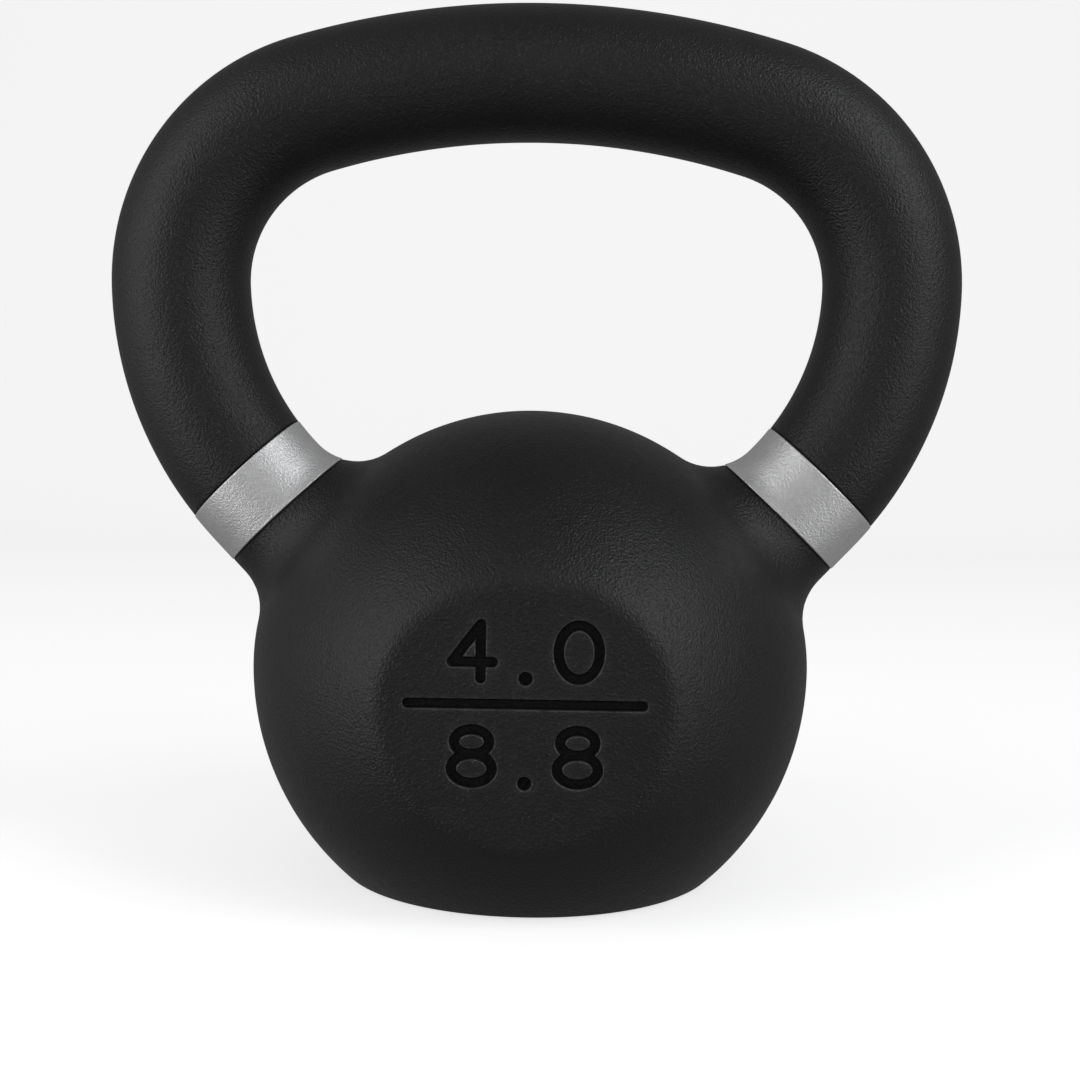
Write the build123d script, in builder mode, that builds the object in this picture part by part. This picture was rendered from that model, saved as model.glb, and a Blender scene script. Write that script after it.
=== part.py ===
"""A 4 kg kettlebell: one iron casting under a black powder coat, with a silver band on each leg.

The origin is the centre of the flat base, on the floor. +Z is up, X runs along the handle's width
and the marked face looks towards -Y. All sizes are in millimetres.
"""

import os
from math import acos, asin, atan2, cos, degrees, radians, sin

from build123d import *

os.makedirs("parts", exist_ok=True)

# Ball: a sphere below its widest point, with a lower dome of three tangent arcs above it.
BALL_RADIUS = 49.4
CENTRE_HEIGHT = 36.8  # the ball's widest point above the base
BASE_RIM_RADIUS = 1.6  # rounding between the base and the ball
SIDE_RADIUS = 38.5
SIDE_ANGLE = 35.8  # degrees of the dome, up from the widest point
SHOULDER_RADIUS = 59.0
CROWN_RADIUS = 47.4

# Flat round face, front and back.
FACET_DISTANCE = 43.5  # from the ball's axis
FACET_RIM_RADIUS = 5.8

# Handle: a round bar whose centreline is a chain of tangent arcs from the top centre, each
# (radius, degrees), then a straight leg into the ball.
BAR_RADIUS_TOP = 11.85
BAR_RADIUS_FOOT = 12.75  # the bar thickens evenly from its top to the buried end of each leg
BAR_TOP_HEIGHT = 104.3  # centreline above the ball's widest point
CENTRELINE_ARCS = ((138.2, 16.7), (32.4, 74.5), (54.3, 42.4))
LEG_LENGTH = 26.3
NECK_RADIUS = 9.9  # blend between leg and ball

# Coats and bands.
COAT_THICKNESS = 0.35
BAND_WIDTH = 10.2  # centred where the centreline's last arc meets the straight leg
BAND_PROUD = 0.12  # how far a band stands out of the black coat
BAND_ZONE_RADIUS = 15.0  # reaches past the leg, and clear of the ball

# Mark sunk into the front face: numerals above and below a bar.
STROKE = 1.6
MARK_DEPTH = 0.9
RULE_LENGTH = 36.8  # between the centres of its round ends
RULE_RISE = 0.7  # above the ball's widest point
LINE_PITCH = 8.3  # from the bar to the middle of either number
DIGIT_HEIGHT = 8.5  # along the stroke's centreline
DIGIT_WIDTH = 6.4
DIGIT_PITCH = 8.3  # from the decimal point to the middle of either digit
POINT_RADIUS = 1.1
FOUR_CROSS_DROP = 0.2  # of its height, from the middle of a 4 down to its crossbar
FOUR_STEM_SHIFT = 0.2  # of its width, from the middle of a 4 across to its stem
EIGHT_TOP_HEIGHT = 0.46  # of its height, the upper ring of an 8
EIGHT_TOP_WIDTH = 0.86  # of its width, the upper ring of an 8


def stroke_between(start, end, width):
    """A straight round-ended stroke between two points of the open sketch."""
    run = Vector(*end) - Vector(*start)
    with Locations((Vector(*start) + Vector(*end)) / 2):
        SlotCenterToCenter(run.length, width, rotation=degrees(atan2(run.Y, run.X)))


def digit_four(x, y, width):
    """A 4 of three strokes: the stem, the slope and the crossbar."""
    top = y + DIGIT_HEIGHT / 2
    foot = y - DIGIT_HEIGHT / 2
    cross_height = y - FOUR_CROSS_DROP * DIGIT_HEIGHT
    stem = x + FOUR_STEM_SHIFT * DIGIT_WIDTH
    left = x - DIGIT_WIDTH / 2
    stroke_between((stem, top), (stem, foot), width)
    stroke_between((stem, top), (left, cross_height), width)
    stroke_between((left, cross_height), (x + DIGIT_WIDTH / 2, cross_height), width)


def oval_ring(x, y, across, tall, width):
    """An oval outline of the given centreline size."""
    with Locations((x, y)):
        Ellipse((across + width) / 2, (tall + width) / 2)
        Ellipse((across - width) / 2, (tall - width) / 2, mode=Mode.SUBTRACT)


def digit_zero(x, y, width):
    """A 0, one oval ring."""
    oval_ring(x, y, DIGIT_WIDTH, DIGIT_HEIGHT, width)


def digit_eight(x, y, width):
    """An 8 of two oval rings, the upper one smaller."""
    upper = EIGHT_TOP_HEIGHT * DIGIT_HEIGHT
    lower = DIGIT_HEIGHT - upper
    oval_ring(x, y + lower / 2, EIGHT_TOP_WIDTH * DIGIT_WIDTH, upper, width)
    oval_ring(x, y - upper / 2, DIGIT_WIDTH, lower, width)


def decimal_point(x, y, width):
    """A round point on the foot line of the digits."""
    with Locations((x, y - DIGIT_HEIGHT / 2)):
        Circle(POINT_RADIUS + (width - STROKE) / 2)


def ball(inset):
    """The ball with its base, its two flat faces and its mark, all drawn in by inset."""
    crown_start = degrees(
        acos(
            ((SHOULDER_RADIUS - SIDE_RADIUS) * cos(radians(SIDE_ANGLE)) - BALL_RADIUS + SIDE_RADIUS)
            / (SHOULDER_RADIUS - CROWN_RADIUS)
        )
    )
    radius = BALL_RADIUS - inset
    base_angle = asin((inset - CENTRE_HEIGHT) / radius)
    # The profile's plane stands between a leg and a flat face, so the seam crosses neither.
    profile_plane = Plane(origin=(0, 0, CENTRE_HEIGHT), x_dir=(1, 1, 0), z_dir=(1, -1, 0))
    with BuildPart() as body:
        with BuildSketch(profile_plane):
            with BuildLine():
                rim = (radius * cos(base_angle), radius * sin(base_angle))
                Line((0, inset - CENTRE_HEIGHT), rim)
                CenterArc((0, 0), radius, degrees(base_angle), -degrees(base_angle))
                side = JernArc((radius, 0), (0, 1), SIDE_RADIUS - inset, SIDE_ANGLE)
                shoulder = JernArc(
                    side @ 1, side % 1, SHOULDER_RADIUS - inset, crown_start - SIDE_ANGLE
                )
                crown = JernArc(shoulder @ 1, shoulder % 1, CROWN_RADIUS - inset, 90 - crown_start)
                Line(crown @ 1, (0, inset - CENTRE_HEIGHT))
            make_face()
        revolve(axis=Axis.Z)
        for facing in (-1, 1):
            face_plane = Plane(
                origin=(0, facing * (FACET_DISTANCE - inset), CENTRE_HEIGHT),
                x_dir=(-facing, 0, 0),
                z_dir=(0, facing, 0),
            )
            split(bisect_by=face_plane, keep=Keep.BOTTOM)
        fillet(body.faces().filter_by(Axis.Y).edges(), FACET_RIM_RADIUS - inset)
        fillet(body.faces().sort_by(Axis.Z)[0].edges(), BASE_RIM_RADIUS - inset)
    return body.part


def centreline():
    """The right half of the bar's centreline, from its top centre to the foot of the leg."""
    with BuildLine(Plane.XZ) as path:
        point = (0, CENTRE_HEIGHT + BAR_TOP_HEIGHT)
        direction = (1, 0)
        for radius, angle in CENTRELINE_ARCS:
            bend = JernArc(point, direction, radius, -angle)
            point = bend @ 1
            direction = bend % 1
        Line(point, point + direction * LEG_LENGTH)
    return path


def handle(inset):
    """The round bar with both legs, drawn in by inset."""
    with BuildLine() as path:
        add(centreline().line)
        mirror(about=Plane.YZ)
    route = path.wire()
    radii = (BAR_RADIUS_FOOT, BAR_RADIUS_TOP, BAR_RADIUS_FOOT)
    with BuildPart() as bar:
        for place, radius in zip((0, 0.5, 1), radii):
            with BuildSketch(Plane(route @ place, x_dir=(0, 1, 0), z_dir=route % place)):
                Circle(radius - inset)
        sweep(path=route, multisection=True)
    return bar.part


def mark(width):
    """The mark's sketch, drawn with strokes of the given width about the face's middle."""
    with BuildSketch() as numerals:
        stroke_between((-RULE_LENGTH / 2, 0), (RULE_LENGTH / 2, 0), width)
        digit_four(-DIGIT_PITCH, LINE_PITCH, width)
        decimal_point(0, LINE_PITCH, width)
        digit_zero(DIGIT_PITCH, LINE_PITCH, width)
        digit_eight(-DIGIT_PITCH, -LINE_PITCH, width)
        decimal_point(0, -LINE_PITCH, width)
        digit_eight(DIGIT_PITCH, -LINE_PITCH, width)
    return numerals.sketch


def kettlebell(inset):
    """The whole outer form, drawn in by inset: the ball, the handle and the blends between them."""
    round_body = ball(inset)
    bar = handle(inset)
    numerals = mark(STROKE + 2 * inset)
    face_plane = Plane(
        origin=(0, inset - FACET_DISTANCE, CENTRE_HEIGHT + RULE_RISE), x_dir=(1, 0, 0), z_dir=(0, -1, 0)
    )
    with BuildPart() as form:
        add(round_body)
        add(bar)
        fillet(form.edges(Select.NEW), NECK_RADIUS + inset)
        with BuildSketch(face_plane):
            add(numerals)
        extrude(amount=-MARK_DEPTH, mode=Mode.SUBTRACT)
    return form.part


def band_plane(side):
    """The plane square across a leg where the bar's last arc ends; side is -1 left, 1 right."""
    leg = centreline().edges().sort_by(Axis.Z)[0]
    top = leg @ 0
    along = leg % 0
    return Plane(origin=(side * top.X, 0, top.Z), z_dir=(side * along.X, 0, along.Z))


# The same form at three depths: the iron, the face of the black coat and the face of the bands.
core = kettlebell(COAT_THICKNESS)
coated = kettlebell(0)
banded = kettlebell(-BAND_PROUD)

# The casting: ball, legs and handle in one piece of grey iron.
with BuildPart() as iron_casting:
    add(core)
iron_casting.part.label = "iron_casting"
export_step(iron_casting.part, "parts/iron_casting.step")

# The black powder coat, left off the iron where the bands go, which parts it into two shells.
with BuildPart() as black_coat:
    add(coated)
    add(core, mode=Mode.SUBTRACT)
    for side in (-1, 1):
        with Locations(band_plane(side)):
            Cylinder(BAND_ZONE_RADIUS, BAND_WIDTH, mode=Mode.SUBTRACT)
coat_shells = black_coat.solids().sort_by(Axis.Z)
underside = Plane.XY.offset(COAT_THICKNESS)

# The coat on the ball and the stumps of the legs, down to the underside.
with BuildPart() as bell_coat:
    add(coat_shells[0])
    split(bisect_by=underside, keep=Keep.TOP)
bell_coat.part.label = "bell_coat"
export_step(bell_coat.part, "parts/bell_coat.step")

# The coat on the underside, which the kettlebell stands on.
with BuildPart() as base_coat:
    add(coat_shells[0])
    split(bisect_by=underside, keep=Keep.BOTTOM)
base_coat.part.label = "base_coat"
export_step(base_coat.part, "parts/base_coat.step")

# The coat on the handle, from band to band.
with BuildPart() as handle_coat:
    add(coat_shells[-1])
handle_coat.part.label = "handle_coat"
export_step(handle_coat.part, "parts/handle_coat.step")

# The silver bands, one round the foot of each leg, in the gaps of the black coat.
for side, name in ((-1, "left_band"), (1, "right_band")):
    with BuildPart() as band:
        with Locations(band_plane(side)):
            Cylinder(BAND_ZONE_RADIUS, BAND_WIDTH)
        add(banded, mode=Mode.INTERSECT)
        add(core, mode=Mode.SUBTRACT)
    band.part.label = name
    export_step(band.part, f"parts/{name}.step")
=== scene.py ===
"""The studio scene: a 4 kg kettlebell in black powder coat, with a silver band on each leg.

The coats and bands are modelled here as closed shells over the CAD's iron casting, from one distance
function of the whole outer form. Shapes are worked out in millimetres in the shared frame and
written to meshes in metres.
"""

from math import acos, cos, pi, radians, sin

import bmesh
import bpy
import numpy as np
from mathutils import Matrix, Vector
from mathutils.geometry import delaunay_2d_cdt


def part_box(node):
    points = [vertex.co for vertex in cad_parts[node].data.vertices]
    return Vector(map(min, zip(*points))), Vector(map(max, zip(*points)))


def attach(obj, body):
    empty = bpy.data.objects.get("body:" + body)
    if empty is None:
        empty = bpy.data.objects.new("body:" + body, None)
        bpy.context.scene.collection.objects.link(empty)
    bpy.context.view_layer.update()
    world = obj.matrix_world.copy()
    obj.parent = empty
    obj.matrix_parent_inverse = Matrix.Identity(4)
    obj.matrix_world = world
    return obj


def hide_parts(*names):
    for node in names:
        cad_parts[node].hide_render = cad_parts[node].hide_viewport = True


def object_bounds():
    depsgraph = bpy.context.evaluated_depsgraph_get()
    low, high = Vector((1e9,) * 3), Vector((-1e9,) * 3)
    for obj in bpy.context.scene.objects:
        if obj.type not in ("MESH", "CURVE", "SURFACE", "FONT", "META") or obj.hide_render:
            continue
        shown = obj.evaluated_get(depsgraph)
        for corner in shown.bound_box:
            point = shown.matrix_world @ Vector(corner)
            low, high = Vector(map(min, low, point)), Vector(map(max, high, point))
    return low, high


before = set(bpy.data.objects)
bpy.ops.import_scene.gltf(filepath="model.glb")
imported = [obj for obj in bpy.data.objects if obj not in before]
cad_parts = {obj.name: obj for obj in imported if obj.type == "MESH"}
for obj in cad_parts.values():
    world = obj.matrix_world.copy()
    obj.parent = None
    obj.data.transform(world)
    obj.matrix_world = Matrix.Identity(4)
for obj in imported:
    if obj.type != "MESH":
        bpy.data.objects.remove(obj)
cad_low, cad_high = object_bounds()

MM = 0.001

# ---- The object's dimensions, in millimetres.

# Ball: a sphere below its widest point, with a lower dome of three tangent arcs above it.
BALL_RADIUS = 49.4
CENTRE_HEIGHT = 36.8  # the ball's widest point above the base
BASE_RIM_RADIUS = 1.6
SIDE_RADIUS = 38.5
SIDE_ANGLE = radians(35.8)
SHOULDER_RADIUS = 59.0
CROWN_RADIUS = 47.4
FACET_DISTANCE = -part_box("bell_coat")[0].y / MM  # of each flat face from the ball's axis
FACET_RIM_RADIUS = 5.8

# Handle: a round bar whose centreline is a chain of tangent arcs, each (radius, turn), then a leg.
BAR_RADIUS_TOP = 11.85
BAR_RADIUS_GAIN = 0.90  # from its top to the buried end of each leg
BAR_TOP_HEIGHT = 104.3  # centreline above the ball's widest point
CENTRELINE_ARCS = ((138.2, radians(16.7)), (32.4, radians(74.5)), (54.3, radians(42.4)))
LEG_LENGTH = 26.3
NECK_RADIUS = 9.9  # blend between leg and ball

# Coats and bands.
COAT_THICKNESS = 0.35
SHELL_THICKNESS = 0.33  # a little less than the coat, so a shell never touches the iron
BAND_WIDTH = 10.2
BAND_PROUD = 0.12
EDGE_ROLL = 0.22  # rounding of the coat's masked edges

# Mark.
STROKE = 1.6
MARK_DEPTH = 0.9
RULE_LENGTH = 36.8
RULE_RISE = 0.7  # above the ball's widest point
LINE_PITCH = 8.3  # from the bar to the middle of either number
DIGIT_HEIGHT = 8.5
DIGIT_WIDTH = 6.4
DIGIT_PITCH = 8.3  # from the decimal point to the middle of either digit
POINT_RADIUS = 1.1
FOUR_CROSS_DROP = DIGIT_HEIGHT / 5  # from the middle of a 4 down to its crossbar
FOUR_STEM_SHIFT = DIGIT_WIDTH / 5  # from the middle of a 4 across to its stem
EIGHT_TOP_HEIGHT = 0.46  # of its height, the upper ring of an 8
EIGHT_TOP_WIDTH = 0.86  # of its width, the upper ring of an 8
MARK_ROLL = 0.24  # rounding of the mark's upper rims, and of the foot of its walls
WALL_RUN = 0.07  # how far a wall of the mark leans


# ---- The outer form as a distance function.

TINY = 1e-12


def length(vectors):
    """Length of each vector in an array."""
    return np.sqrt((vectors * vectors).sum(axis=-1))


def dot(one, other):
    """Dot product of each pair of vectors in two arrays."""
    return (one * other).sum(axis=-1)


crown_start = acos(
    ((SHOULDER_RADIUS - SIDE_RADIUS) * cos(SIDE_ANGLE) - BALL_RADIUS + SIDE_RADIUS)
    / (SHOULDER_RADIUS - CROWN_RADIUS)
)
side_centre = np.array([BALL_RADIUS - SIDE_RADIUS, 0.0])
shoulder_centre = side_centre + (SIDE_RADIUS - SHOULDER_RADIUS) * np.array(
    [cos(SIDE_ANGLE), sin(SIDE_ANGLE)]
)
crown_centre = shoulder_centre + (SHOULDER_RADIUS - CROWN_RADIUS) * np.array(
    [cos(crown_start), sin(crown_start)]
)
rim_height = BASE_RIM_RADIUS - CENTRE_HEIGHT
rim_reach = BALL_RADIUS - BASE_RIM_RADIUS
rim_centre = np.array([(rim_reach**2 - rim_height**2) ** 0.5, rim_height])


def turned_ball(points):
    """Distance to the ball as it would be without its two flat faces."""
    across = np.hypot(points[:, 0], points[:, 1])
    height = points[:, 2] - CENTRE_HEIGHT
    side_angle = np.arctan2(height - side_centre[1], across - side_centre[0])
    shoulder_angle = np.arctan2(height - shoulder_centre[1], across - shoulder_centre[0])
    side = np.hypot(across - side_centre[0], height - side_centre[1]) - SIDE_RADIUS
    shoulder = np.hypot(across - shoulder_centre[0], height - shoulder_centre[1]) - SHOULDER_RADIUS
    crown = np.hypot(across - crown_centre[0], height - crown_centre[1]) - CROWN_RADIUS
    dome = np.where(shoulder_angle <= crown_start, shoulder, crown)
    dome = np.where(side_angle <= SIDE_ANGLE, side, dome)
    sphere = np.hypot(across, height) - BALL_RADIUS
    upper = np.where(height < 0, sphere, dome)
    floor = -points[:, 2]
    result = np.maximum(upper, floor)
    outwards = rim_centre / rim_reach
    reach_x = across - rim_centre[0]
    reach_y = height - rim_centre[1]
    along_sphere = reach_x / outwards[0]
    along_floor = along_sphere * outwards[1] - reach_y
    in_rim = (along_sphere >= 0) & (along_floor >= 0)
    return np.where(in_rim, np.hypot(reach_x, reach_y) - BASE_RIM_RADIUS, result)


class Centreline:
    """The bar's centreline in the XZ plane, measured from its top centre to the foot of the leg."""

    def __init__(self):
        point = np.array([0.0, CENTRE_HEIGHT + BAR_TOP_HEIGHT])
        turned = 0.0
        travelled = 0.0
        self.arcs = []
        for radius, angle in CENTRELINE_ARCS:
            centre = point - radius * np.array([sin(turned), cos(turned)])
            self.arcs.append((centre, radius, turned, angle, travelled))
            turned += angle
            travelled += radius * angle
            point = centre + radius * np.array([sin(turned), cos(turned)])
        self.leg_start = point
        self.leg_direction = np.array([cos(turned), -sin(turned)])
        self.leg_travelled = travelled
        self.total = travelled + LEG_LENGTH

    def nearest(self, x, z):
        """Squared distance in the plane, and how far along the nearest point lies."""
        best = None
        along = None
        for centre, radius, turned, angle, travelled in self.arcs:
            here = np.clip(np.arctan2(x - centre[0], z - centre[1]), turned, turned + angle)
            x_gap = x - centre[0] - radius * np.sin(here)
            z_gap = z - centre[1] - radius * np.cos(here)
            gap = x_gap**2 + z_gap**2
            place = travelled + radius * (here - turned)
            if best is None:
                best, along = gap, place
            else:
                along = np.where(gap < best, place, along)
                best = np.minimum(gap, best)
        run = (x - self.leg_start[0]) * self.leg_direction[0]
        run = np.clip(run + (z - self.leg_start[1]) * self.leg_direction[1], 0, LEG_LENGTH)
        x_gap = x - self.leg_start[0] - run * self.leg_direction[0]
        z_gap = z - self.leg_start[1] - run * self.leg_direction[1]
        gap = x_gap**2 + z_gap**2
        along = np.where(gap < best, self.leg_travelled + run, along)
        return np.minimum(gap, best), along

    def at(self, along):
        """Points on the centreline and the outward normals there, as XZ pairs."""
        point = self.leg_start + (along[:, None] - self.leg_travelled) * self.leg_direction
        normal = np.tile(-np.array([self.leg_direction[1], -self.leg_direction[0]]), (len(along), 1))
        for centre, radius, turned, angle, travelled in self.arcs:
            on_arc = (along >= travelled) & (along < travelled + radius * angle)
            here = turned + (along - travelled) / radius
            outward = np.stack([np.sin(here), np.cos(here)], axis=1)
            point = np.where(on_arc[:, None], centre + radius * outward, point)
            normal = np.where(on_arc[:, None], outward, normal)
        return point, normal


centreline = Centreline()


def bar_radius(along):
    """Radius of the bar this far along its centreline."""
    return BAR_RADIUS_TOP + BAR_RADIUS_GAIN * (along / centreline.total) ** 2


def tube(points):
    """Distance to the handle's bar."""
    gap, along = centreline.nearest(np.abs(points[:, 0]), points[:, 2])
    return np.sqrt(gap + points[:, 1] ** 2) - bar_radius(along)


def bar_points(along, around):
    """Points on the bar's surface, for the right half and mirrored for a negative distance along."""
    middle, normal = centreline.at(np.abs(along))
    radius = bar_radius(np.abs(along))
    x = middle[:, 0] + radius * np.cos(around) * normal[:, 0]
    z = middle[:, 1] + radius * np.cos(around) * normal[:, 1]
    return np.stack([np.where(along < 0, -x, x), radius * np.sin(around), z], axis=1)


def gradient(field, points, step=0.01):
    """The field's gradient in two or three dimensions, by central differences over the step."""
    result = np.empty_like(points)
    size = points.shape[1]
    for axis in range(size):
        shift = np.zeros(size)
        shift[axis] = step
        result[:, axis] = (field(points + shift) - field(points - shift)) / (2 * step)
    return result


def unit(vectors):
    """Each vector of an array at unit length."""
    return vectors / np.maximum(length(vectors), TINY)[:, None]


def bisect(function, span, count, rounds=40):
    """Where each of an array of functions changes sign within the span."""
    low = np.full(count, float(span[0]))
    high = np.full(count, float(span[1]))
    low_sign = function(low) > 0
    for _ in range(rounds):
        middle = (low + high) / 2
        same = (function(middle) > 0) == low_sign
        low = np.where(same, middle, low)
        high = np.where(same, high, middle)
    return (low + high) / 2


SPINE_CHUNK = 20000  # places measured at a time


class Spine:
    """The closed curve that the centre of a blend's rolling ball follows between two surfaces."""

    def __init__(self, points, first, second):
        self.points = points
        self.tangents = unit(np.roll(points, -1, axis=0) - np.roll(points, 1, axis=0))
        self.spacing = length(np.roll(points, -1, axis=0) - points).max()
        self.first = first
        self.second = second

    def measure(self, places):
        """Distance from each place to the curve, and whether it lies between the contact lines."""
        far = np.empty(len(places))
        between = np.empty(len(places), bool)
        size = (self.points**2).sum(axis=1)[None, :]
        for start in range(0, len(places), SPINE_CHUNK):
            chunk = slice(start, start + SPINE_CHUNK)
            part = places[chunk]
            near = (size - 2 * part @ self.points.T).argmin(axis=1)
            reach = part - self.points[near]
            tangent = self.tangents[near]
            slide = np.clip(dot(reach, tangent), -self.spacing, self.spacing)
            reach = reach - slide[:, None] * tangent
            first = self.first[near]
            second = self.second[near]
            lean = dot(first, second)
            along_first = dot(reach, first)
            along_second = dot(reach, second)
            far[chunk] = length(reach)
            past_first = along_first - lean * along_second >= 0
            past_second = along_second - lean * along_first >= 0
            between[chunk] = past_first & past_second
        return far, between


FACET_TURNS = 400  # points round the spine of a flat face's rim
FACET_SEARCH = (5.0, 33.0)  # nearest and furthest that spine can lie from the face's middle
NECK_TURNS = 500  # points round the spine of a neck
NECK_SEARCH = (85.0, centreline.total - 0.5)  # how far along the bar that spine can lie


def facet_spine():
    """The spine of the rim between the ball and its front face."""
    turns = np.linspace(0, 2 * pi, FACET_TURNS, endpoint=False)
    depth = FACET_DISTANCE - FACET_RIM_RADIUS

    def place(reach):
        x = reach * np.cos(turns)
        z = CENTRE_HEIGHT + reach * np.sin(turns)
        return np.stack([x, np.full_like(turns, -depth), z], axis=1)

    reach = bisect(
        lambda r: turned_ball(place(r)) + FACET_RIM_RADIUS, FACET_SEARCH, FACET_TURNS
    )
    points = place(reach)
    facing = np.tile([0.0, -1.0, 0.0], (len(turns), 1))
    return Spine(points, unit(gradient(turned_ball, points)), facing)


def neck_spine():
    """The spine of the blend between the ball and the right leg."""
    turns = np.linspace(0, 2 * pi, NECK_TURNS, endpoint=False)

    def place(along):
        middle, normal = centreline.at(along)
        radius = bar_radius(along) + NECK_RADIUS
        x = middle[:, 0] + radius * np.cos(turns) * normal[:, 0]
        z = middle[:, 1] + radius * np.cos(turns) * normal[:, 1]
        return np.stack([x, radius * np.sin(turns), z], axis=1)

    along = bisect(lambda s: turned_ball(place(s)) - NECK_RADIUS, NECK_SEARCH, NECK_TURNS)
    points = place(along)
    return Spine(points, -unit(gradient(turned_ball, points)), -unit(gradient(tube, points)))


facet_rim = facet_spine()
neck = neck_spine()

# The blends are worked out only for points this near the surface.
RIM_OUTER_REACH = 6
NECK_INNER_REACH = 4


def ball(points):
    """Distance to the ball with its flat faces."""
    turned = turned_ball(points)
    flat = np.abs(points[:, 1]) - FACET_DISTANCE
    result = np.maximum(turned, flat)
    in_corner = (turned > -FACET_RIM_RADIUS) & (flat > -FACET_RIM_RADIUS)
    near = np.flatnonzero(in_corner & (result < RIM_OUTER_REACH))
    if len(near):
        folded = points[near] * [1, 0, 1] - np.abs(points[near]) * [0, 1, 0]
        far, between = facet_rim.measure(folded)
        result[near] = np.where(between, far - FACET_RIM_RADIUS, result[near])
    return result


def form(points):
    """Distance to the nominal outer form: ball, bar and the necks between them."""
    body = ball(points)
    bar = tube(points)
    result = np.minimum(body, bar)
    in_corner = (body < NECK_RADIUS) & (bar < NECK_RADIUS)
    near = np.flatnonzero(in_corner & (result > -NECK_INNER_REACH))
    if len(near):
        folded = points[near] * [0, 1, 1] + np.abs(points[near]) * [1, 0, 0]
        far, between = neck.measure(folded)
        result[near] = np.where(between, NECK_RADIUS - far, result[near])
    return result


# Casting unevenness: a fixed sum of long waves, each (x, y, z, phase), always drawn inwards.
WAVES = (
    (0.21, 0.13, 0.17, 0.3),
    (-0.16, 0.24, 0.11, 1.7),
    (0.12, -0.19, 0.27, 2.9),
    (0.31, 0.22, -0.14, 4.1),
    (-0.24, 0.09, 0.33, 5.2),
    (0.08, 0.36, 0.21, 0.9),
)
WAVE_HEIGHT = 0.045


def unevenness(points):
    """How far the surface lies inside the nominal form, between 0 and WAVE_HEIGHT."""
    total = np.zeros(len(points))
    for x, y, z, phase in WAVES:
        total += np.sin(points @ np.array([x, y, z]) + phase)
    return WAVE_HEIGHT * (0.5 + total / (2 * len(WAVES)))


ROLL_LIMIT = 0.985  # share of a quarter turn's run, so that a rounded edge stays short of upright
# Painted shadow line: the black coat's colour is darkened beside each band, standing in for the shade
# at the band's edge.
SHADOW_PEAK = 1.3
SHADOW_WIDTH = 0.5


def rolled(distance, radius):
    """How far an edge has rounded off, this far from it."""
    lean = np.clip(1 - distance / radius, 0, ROLL_LIMIT)
    return radius * (1 - np.sqrt(1 - lean**2))


def painted_band_shadow(distance):
    """Share of the painted shadow line, a darkening of the black coat's colour beside a band."""
    return np.clip(SHADOW_PEAK - distance / SHADOW_WIDTH, 0, 1)


leg_axis = np.array([centreline.leg_direction[0], 0.0, centreline.leg_direction[1]])
leg_outward = np.array([-centreline.leg_direction[1], 0.0, centreline.leg_direction[0]])
band_middle = np.array([centreline.leg_start[0], 0.0, centreline.leg_start[1]])


def below_band(points):
    """Distance below the band's middle, along the leg, of points on either side."""
    folded = points * [0, 1, 1] + np.abs(points) * [1, 0, 0]
    return (folded - band_middle) @ leg_axis


# ---- The mark.


NEAR_MIDDLE = 1e-6  # keeps an oval's middle from dividing by nothing


def to_segment(places, start, end):
    """Distance to a straight line between two points."""
    start = np.array(start)
    run = np.array(end) - start
    share = np.clip(((places - start) @ run) / (run @ run), 0, 1)
    return length(places - start - share[:, None] * run)


def to_oval(places, centre, across, tall):
    """Distance to an oval's outline, negative inside, good near the outline."""
    x = (places[:, 0] - centre[0]) / (across / 2)
    y = (places[:, 1] - centre[1]) / (tall / 2)
    size = np.maximum(np.hypot(x, y), NEAR_MIDDLE)
    slope = np.hypot(x / (across / 2), y / (tall / 2)) / size
    return (size - 1) / slope


def ring(places, x, y, across, tall):
    """Distance to an oval ring, which alone makes a 0."""
    outside = to_oval(places, (x, y), across + STROKE, tall + STROKE)
    inside = to_oval(places, (x, y), across - STROKE, tall - STROKE)
    return np.maximum(outside, -inside)


def four(places, x, y):
    """Distance to a 4 of three strokes: the stem, the slope and the crossbar."""
    top = y + DIGIT_HEIGHT / 2
    foot = y - DIGIT_HEIGHT / 2
    cross = y - FOUR_CROSS_DROP
    stem = x + FOUR_STEM_SHIFT
    left = x - DIGIT_WIDTH / 2
    strokes = (
        ((stem, top), (stem, foot)),
        ((stem, top), (left, cross)),
        ((left, cross), (x + DIGIT_WIDTH / 2, cross)),
    )
    return np.min([to_segment(places, *ends) for ends in strokes], axis=0) - STROKE / 2


def eight(places, x, y):
    """Distance to an 8 of two oval rings."""
    upper = EIGHT_TOP_HEIGHT * DIGIT_HEIGHT
    lower = DIGIT_HEIGHT - upper
    return np.minimum(
        ring(places, x, y + lower / 2, EIGHT_TOP_WIDTH * DIGIT_WIDTH, upper),
        ring(places, x, y - upper / 2, DIGIT_WIDTH, lower),
    )


def point(places, y):
    """Distance to a decimal point on the foot line of the digits."""
    return length(places - np.array([0, y - DIGIT_HEIGHT / 2])) - POINT_RADIUS


def mark_edge(places):
    """Distance outside the mark's outline, for XZ places on the front face."""
    here = places - np.array([0, CENTRE_HEIGHT + RULE_RISE])
    rule = to_segment(here, (-RULE_LENGTH / 2, 0), (RULE_LENGTH / 2, 0)) - STROKE / 2
    return np.min(
        [
            rule,
            four(here, -DIGIT_PITCH, LINE_PITCH),
            point(here, LINE_PITCH),
            ring(here, DIGIT_PITCH, LINE_PITCH, DIGIT_WIDTH, DIGIT_HEIGHT),
            eight(here, -DIGIT_PITCH, -LINE_PITCH),
            point(here, -LINE_PITCH),
            eight(here, DIGIT_PITCH, -LINE_PITCH),
        ],
        axis=0,
    )


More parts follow.
